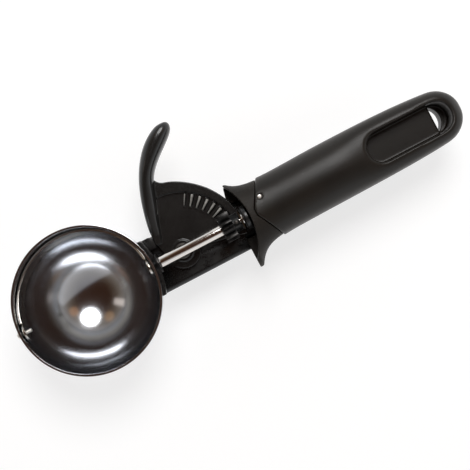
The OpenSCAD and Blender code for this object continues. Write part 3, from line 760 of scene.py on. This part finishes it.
# %% [markdown]
# ## Grip
#
# The skin is kept where the tongue's tool allows, and a long recess with round ends is sunk
# into it from above and from below. Behind the end of the web between them the two meet, which
# makes the hanging eye. A slot takes the frame's tang and a bore the pin. A mould has no sharp
# corners, and a bevel fails where so many cuts meet, so the cut form is remeshed into small
# even faces and smoothed, which rounds each edge by about half a millimetre.

# %% Model the grip
EYE_R = 7.0
WEB = 1.6                  # half the thickness of the web
EYE_STEP = 2.9             # the lower recess ends this far short of the upper one
TOP_Z, FOOT_Z = 30, -40    # above and below the handle
PIN_BORE = (1.15, 87.6, 5.3, -30, 20)          # radius, place and both ends
GRIP_STATIONS = (78, 82, 86, 90, 94, 99, 105, 111, 117, 123, 129, 135, 141, 147, 153, 159, 164,
                 169)
END_ANGLES = (0, 18, 36, 54, 70, 82)
END_FULLER, END_LONGER = 1.017, 1.012          # make up for what smoothing takes off the end


def recess(name, length, low, high):
    """A hole with round ends: a cylinder whose far half is drawn out along the handle."""
    tool = cylinder(name, EYE_R, RECESS_X, 0, low, high, 96)
    edit(tool)
    pick(tool, lambda p: p.x > place(RECESS_X + 0.01, 0, 0).x)
    bpy.ops.transform.translate(value=(length * MM, 0, 0))
    return tool


rings = [station(x) for x in GRIP_STATIONS]
for angle in END_ANGLES:
    turn = math.radians(angle)
    fuller, longer = (END_FULLER, END_LONGER) if angle else (1, 1)
    rings.append(station(EYE_X, 0.0, math.cos(turn) * fuller,
                         EYE_X + END_LEN * math.sin(turn) * longer))
grip = loft("handle_grip", rings)
cut(grip, grip_region(0.0), "INTERSECT")
cut(grip, block("slot", *TANG_SLOT))
cut(grip, recess("upper_recess", EYE_X - RECESS_X, HANDLE_Z + WEB, TOP_Z))
cut(grip, recess("lower_recess", EYE_X - RECESS_X - EYE_STEP, FOOT_Z, HANDLE_Z - WEB))
eye = cylinder("eye", EYE_R, EYE_X, 0, HANDLE_Z - WEB - 0.5, HANDLE_Z + WEB + 0.5, 96)
edit(eye)
bpy.ops.mesh.bisect(plane_co=place(EYE_X, 0, 0), plane_no=(-1, 0, 0), clear_outer=True,
                    use_fill=True)
cut(grip, eye)
cut(grip, cylinder("pin_hole", *PIN_BORE, 32))
round_off(grip, 0.42, 7)
print("grip:", len(grip.data.polygons), "faces before its rim is smoothed")

# %% [markdown]
# ## Rim of the recess
#
# Remeshing leaves fine steps where the flank of the recess runs out through the sloping skin.
# Smoothing the whole grip until they are gone would melt its form, so only a narrow band along
# the rim is smoothed on.

# %% Smooth the rim
RIM_BAND = 1.9             # how wide the band is on either side of the edge
RIM_ABOVE = 2.5            # it begins this far above the web


def near_rim(p):
    """Along the edge where a recess meets the skin, above or below."""
    middle = place(0, 0, HANDLE_Z).z
    step = EYE_STEP if p.z < middle else 0
    along = max(place(RECESS_X, 0, 0).x, min(p.x, place(EYE_X - step, 0, 0).x))
    away = math.hypot(p.x - along, p.y)
    return abs(away - EYE_R * MM) < RIM_BAND * MM and abs(p.z - middle) > (WEB + RIM_ABOVE) * MM


edit(grip)
pick(grip, near_rim)
bpy.ops.mesh.vertices_smooth(factor=0.5, repeat=45)
shade(grip)
fit(grip, "grip", moulded_plastic)

# %% [markdown]
# ## Guard
#
# The guard starts as the same tube with its rings closer together, because the wings flare
# quickly. Its front is cut flat, hollowed round the lever's sector and leant back on the lever's
# side. It is a separate moulding, so it gets its own rounded edges, finer than the grip's.

# %% Model the guard
GUARD_STEPS = (-5, -3, -1, 0, 0.8, 1.6, 2.4, 3.2, 4.2, 5.4, 6.8, 8.4, 10.4, 12.8, 15.6, 19, 23)
FRONT_SPARE = 0.14         # what smoothing takes off the front
KEY_GAP = 0.15
HOLLOW = (33.5, PIVOT_X, 0, -10.2, 40, 192)    # radius, place, both ends and corners
WING_Y = 12.0              # outside this the front leans back
LEAN, LEAN_RUN = 1.2, 5.1  # by so much over so much
guard = loft("handle_guard", [station(max(GUARD_X, GUARD_X + s), SHOULDER, 1.0, GUARD_X + s)
                              for s in GUARD_STEPS])
edit(guard)
bpy.ops.mesh.bisect(plane_co=place(GUARD_X - FRONT_SPARE, 0, 0), plane_no=(-1, 0, 0),
                    clear_outer=True, use_fill=True)
cut(guard, grip_region(KEY_GAP))
cut(guard, cylinder("hollow", *HOLLOW))
cut(guard, block("slot", *TANG_SLOT))
wing = block("wing_front", (GUARD_X - 1, WING_Y, -CLEAR), (GUARD_X, CLEAR, CLEAR))
edit(wing)
pick(wing, lambda p: p.x > place(GUARD_X - 0.5, 0, 0).x and p.y > 20 * MM)
bpy.ops.transform.translate(value=(LEAN * (CLEAR - WING_Y) / LEAN_RUN * MM, 0, 0))
cut(guard, wing)
round_off(guard, 0.3, 4)
shade(guard)
fit(guard, "guard", guard_plastic)

# %% [markdown]
# ## Arm of the lever
#
# The arm stands high beside the lever's plate, sweeps outwards and is crowned for the thumb. It
# could be a box with bevelled edges, but a bevel gives a flat top with a line of light on each
# side, and the real one is round all over. So it is drawn ring by ring along Y.

# %% Model the arm
ARM = (
    # y, left side and right side from the pivot, underside, top, fullness
    (8.5, -9.5, -6.0, -9.2, -5.6, 1.25),
    (11, -9.5, -5.4, -9.2, -4.9, 1.25),
    (15, -9.4, -4.2, -9.2, -3.9, 1.22),
    (19.5, -8.6, -2.4, -9.2, -2.5, 1.2),
    (24, -7.5, -0.6, -9.2, -1.2, 1.18),
    (28.5, -6.2, 1.0, -9.2, -0.1, 1.16),
    (33, -4.5, 2.6, -9.2, 0.9, 1.14),
    (37, -2.7, 5.0, -9.2, 1.7, 1.12),
    (41, -0.5, 9.2, -9.2, 2.2, 1.12),
    (44.5, 1.9, 13.7, -9.2, 2.4, 1.12),
    (47.5, 4.4, 17.6, -9.1, 2.5, 1.12),
    (50, 7.1, 20.1, -8.7, 2.5, 1.12),
    (52, 9.9, 20.8, -7.9, 2.1, 1.1),
    (53.6, 12.8, 20.5, -6.6, 1.2, 1.08),
    (54.5, 15.2, 19.4, -4.9, -0.4, 1.05),
)
arm = loft("arm", [(place(PIVOT_X + (left + right) / 2, y, (foot + top) / 2),
                    cage((right - left) / 2, full), cage((top - foot) / 2, full), full)
                   for y, left, right, foot, top, full in ARM], axis=1)
print("arm:", len(arm.data.polygons), "faces")

# %% [markdown]
# ## Thumb lever
#
# The lever is one casting: a thin plate with a raised rim and a band of teeth, and the arm. The
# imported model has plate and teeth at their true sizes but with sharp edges, so a merged copy
# keeps those and loses its block of an arm. Remeshing it together with the new arm joins the
# two into one skin, with the small fillets that a casting has.

# %% Join arm and plate
ARM_ROOT_Y = 8             # from here outwards nothing of the copy stands above the teeth
PLATE_END_Y = 33.4         # and from here outwards nothing of it is kept
PAST_ARM = (120, 80, 20)   # a corner beyond the arm
MERGE = 0.002 * MM         # faces of a copy join where their corners are this close
FLAT = math.radians(0.5)   # and those that turn by less than this become one


def copy_of(node, name):
    """A merged copy of one of the model's own pieces, to be worked on further."""
    made = bpy.data.objects.new(name, nodes[node].data.copy())
    bpy.context.scene.collection.objects.link(made)
    edit(made)
    bpy.ops.mesh.remove_doubles(threshold=MERGE)
    bpy.ops.mesh.dissolve_limited(angle_limit=FLAT)
    return made


lever = copy_of("lever", "thumb_lever")
cut(lever, block("above", (0, ARM_ROOT_Y, TOOTH_TOP + 0.02), PAST_ARM))
cut(lever, block("beyond", (0, PLATE_END_Y, -30), PAST_ARM))
only(lever)
arm.select_set(True)
bpy.ops.object.join()
round_off(lever, 0.26, 3)
edit(lever)
pick(lever, lambda p: p.z > place(0, 0, TOOTH_TOP + 0.3).z and p.y > (ARM_ROOT_Y + 1) * MM)
bpy.ops.mesh.vertices_smooth(factor=0.5, repeat=10)
shade(lever)
fit(lever, "lever", lever_enamel)

# %% [markdown]
# ## Frame and small metal pieces
#
# These are right in shape, and what they lack is the soft edge that pressing, barrel polishing
# and paint leave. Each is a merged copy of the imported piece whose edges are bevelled: a quarter
# of a millimetre on the pressed frame, and about a tenth on turned pieces. Two ends are set
# right as well: the spring's is cut off flush with the frame, and the head of the blade's far
# pin is drawn out past the rim of the bowl.

# %% Model the metal pieces
SPRING_END_Y = -13.75
PIN_HEAD = 0.9             # how much further the far pin stands out of the bowl
METAL_PIECES = (
    # node, name, width and segments of the bevel, finish, slot
    ("frame", "channel_frame", 0.28, 3, black_enamel, "black_frame"),
    ("bowl_saddle", "brazed_saddle", 0.2, 2, black_enamel, "black_frame"),
    ("far_pivot_pin", "blade_pivot_pin", 0.15, 2, pin_steel, "bright_steel"),
    ("front_bushing", "bowl_bush", 0.15, 2, black_oxide, "dark_steel"),
    ("rear_bushing", "handle_bush", 0.15, 2, black_oxide, "dark_steel"),
    ("lever_rivet", "pivot_rivet", 0.25, 3, dull_steel, "bright_steel"),
    ("pivot_washer", "rivet_washer", 0.1, 2, shaft_steel, "bright_steel"),
    ("push_nut", "spring_nut", 0.08, 2, spring_steel, "spring_steel"),
    ("return_spring", "torsion_spring", 0.0, 0, spring_steel, "spring_steel"),
    ("handle_pin", "grip_pin", 0.45, 4, pin_steel, "bright_steel"),
    ("lever_bush", "hub_bush", 0.1, 2, bronze, "bush_bronze"),
    ("wiper_shaft", "drive_shaft", 0.12, 2, shaft_steel, "bright_steel"),
    ("pinion", "drive_pinion", 0.14, 2, black_oxide, "dark_steel"),
    ("pinion_pin", "pinion_cross_pin", 0.2, 2, dull_steel, "bright_steel"),
    ("retaining_clip", "shaft_clip", 0.08, 2, black_oxide, "spring_steel"),
    ("thrust_washer", "bush_washer", 0.08, 2, bronze, "bush_bronze"),
)
for node, name, width, segments, material, slot in METAL_PIECES:
    piece = copy_of(node, name)
    if node == "return_spring":
        bpy.ops.mesh.bisect(plane_co=place(0, SPRING_END_Y, 0), plane_no=(0, -1, 0),
                            clear_outer=True, use_fill=True)
    if node == "far_pivot_pin":
        pick(piece, lambda p: p.x < place(-BOWL_R - 0.1, 0, 0).x)
        bpy.ops.transform.translate(value=(-PIN_HEAD * MM, 0, 0))
    if width:
        soften(piece, width, segments, 40, use_clamp_overlap=True)
    shade(piece, 30)
    fit(piece, node, material)

# %% [markdown]
# ## Camera
#
# The camera looks straight down into the bowl from a little over a third of a metre, above the
# lever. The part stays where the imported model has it, so it is the camera that is turned about
# its own axis, and the handle rises to the upper right.

# %% Set up the camera
PIXELS = 470
PIXEL_MM = 0.44            # size of one pixel at the level of the shaft
SENSOR = 36
VIEW_X, VIEW_Y = 70.4, -4.6     # the middle of the image
CAMERA_HEIGHT = 380.0
CAMERA_TURN = math.radians(27.64)
camera_data = bpy.data.cameras.new("camera")
camera_data.sensor_width = SENSOR
camera_data.lens = SENSOR / (PIXELS * PIXEL_MM / CAMERA_HEIGHT)
camera = bpy.data.objects.new("camera", camera_data)
bpy.context.scene.collection.objects.link(camera)
camera.location = place(VIEW_X, VIEW_Y, CAMERA_HEIGHT)
camera.rotation_euler = (0, 0, -CAMERA_TURN)
bpy.context.scene.camera = camera
image_right = Vector((math.cos(CAMERA_TURN), -math.sin(CAMERA_TURN), 0))
image_up = Vector((math.sin(CAMERA_TURN), math.cos(CAMERA_TURN), 0))
print("camera: a lens of", round(camera_data.lens, 1), "mm")

# %% [markdown]
# ## Studio
#
# Polished steel shows whatever stands round it, so the room matters as much as the lamps. An
# image of a real room could light it, but a few tones by height give the same rings in the bowl
# and can be set one by one: pale towards the floor, and dark and a little warm overhead.

# %% World
ROOM = (
    # height in the room, from 0 at the scoop's own level to 1 straight up, and the colour there
    (0.0, (0.95, 0.98, 1.0)),
    (0.34, (0.94, 0.97, 1.0)),
    (0.5, (0.5, 0.5, 0.5)),
    (0.68, (0.24, 0.2, 0.165)),
    (0.8, (0.12, 0.085, 0.06)),
    (0.9, (0.05, 0.022, 0.012)),
)
world = bpy.data.worlds.new("studio")
bpy.context.scene.world = world
world.use_nodes = True
tree = world.node_tree
tree.nodes.clear()
direction = add_node(tree, "ShaderNodeTexCoord")
split = add_node(tree, "ShaderNodeSeparateXYZ",
                 links={"Vector": direction.outputs["Generated"]})
walls = add_node(tree, "ShaderNodeValToRGB", links={"Fac": split.outputs["Z"]})
tones = walls.color_ramp.elements
for i, (height, colour) in enumerate(ROOM):
    if i > 1:
        tones.new(height)
    tones[i].position = height
    tones[i].color = (*colour, 1)
glow = add_node(tree, "ShaderNodeBackground", links={"Color": walls.outputs["Color"]})
world_end = tree.nodes.new("ShaderNodeOutputWorld")
tree.links.new(glow.outputs["Background"], world_end.inputs["Surface"])
print("world:", len(tones), "tones from the floor to the ceiling")

# %% [markdown]
# ## Floor
#
# The floor is white paper. It has to look white to the camera and in the steel without lighting
# the scoop more, so a plain diffuse colour takes the shadow and a glow that only camera, glossy
# and transmission rays see lifts it to white.

# %% Floor
PAPER = 0.45               # what the paper gives back of the light that falls on it
LIFT = 0.64                # what the glow adds
floor = start("floor", bpy.ops.mesh.primitive_plane_add, size=6,
              location=(0, 0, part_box("bowl")[0].z - 0.2 * MM))
floor_finish, tree, output = new_material("white studio floor")
paper = add_node(tree, "ShaderNodeBsdfDiffuse", values={"Color": (PAPER, PAPER, PAPER, 1)})
ray = add_node(tree, "ShaderNodeLightPath")
seen = add_node(tree, "ShaderNodeMath", {"operation": "MAXIMUM"},
                links={0: ray.outputs["Is Camera Ray"], 1: ray.outputs["Is Glossy Ray"]})
seen_too = add_node(tree, "ShaderNodeMath", {"operation": "MAXIMUM"},
                    links={0: seen.outputs[0], 1: ray.outputs["Is Transmission Ray"]})
lift = add_node(tree, "ShaderNodeMath", {"operation": "MULTIPLY"}, {1: LIFT},
                {0: seen_too.outputs[0]})
lit = add_node(tree, "ShaderNodeEmission", links={"Strength": lift.outputs[0]})
both = add_node(tree, "ShaderNodeAddShader", links={0: paper.outputs[0], 1: lit.outputs[0]})
tree.links.new(both.outputs[0], output.inputs["Surface"])
floor.data.materials.append(floor_finish)
print("floor:", round(floor.data.vertices[0].co.z / MM, 1), "mm from the level of the eye")

# %% [markdown]
# ## Lamps
#
# One round softbox above and behind the lever makes the bright spot in the bowl and the gloss
# on the arm. A wide pale screen on the other side fills the bowl's far flank, a narrow panel
# gives the small second spot, and two dim warm lamps leave the brown patches that polished
# steel picks up from wood and skin. Each is placed by its direction in the image and by its
# angle from straight up, and its power follows from its size and how bright it should look.

# %% Lamps
LAMP_AWAY = 0.9            # metres from the point that the lamps are aimed at
AIM = place(60, 0, 0)
LAMPS = (
    # name, right and up in the image, degrees from straight up, half angle, brightness, colour,
    # and the other half angle of a lamp that isn't round
    ("softbox", 0.06, 1.0, 32, 15, 8.5, (1, 1, 1), None),
    ("screen", 0.55, -0.84, 46, 50, 0.34, (0.9, 0.95, 1.0), 24),
    ("side_panel", -1.0, 0.1, 46, 5, 0.8, (1.0, 0.9, 0.82), 9),
    ("warm_left", 0.8, 0.6, 38, 8, 0.32, (1.0, 0.45, 0.18), None),
    ("warm_right", -0.72, 0.68, 42, 8, 0.28, (1.0, 0.55, 0.25), None),
)


def span(half_angle):
    """How wide a lamp is that fills this angle on either side of its middle."""
    return 2 * LAMP_AWAY * math.tan(math.radians(half_angle))


for name, right, up, tilt, half_angle, brightness, colour, other_angle in LAMPS:
    towards = (image_right * right + image_up * up).normalized()
    tilt = math.radians(tilt)
    where = (towards * math.sin(tilt) + Vector((0, 0, math.cos(tilt)))) * LAMP_AWAY
    data = bpy.data.lights.new(name, "AREA")
    data.shape = "RECTANGLE" if other_angle else "DISK"
    data.color = colour
    data.size = span(half_angle)
    area = math.pi * data.size ** 2 / 4
    if other_angle:
        data.size_y = span(other_angle)
        area = data.size * data.size_y
    data.energy = brightness * math.pi * area
    obj = bpy.data.objects.new(name, data)
    bpy.context.scene.collection.objects.link(obj)
    obj.location = AIM + where
    obj.rotation_euler = (-where).to_track_quat("-Z", "Y").to_euler()
    print("lamp:", name, "with", round(data.energy, 2), "W")
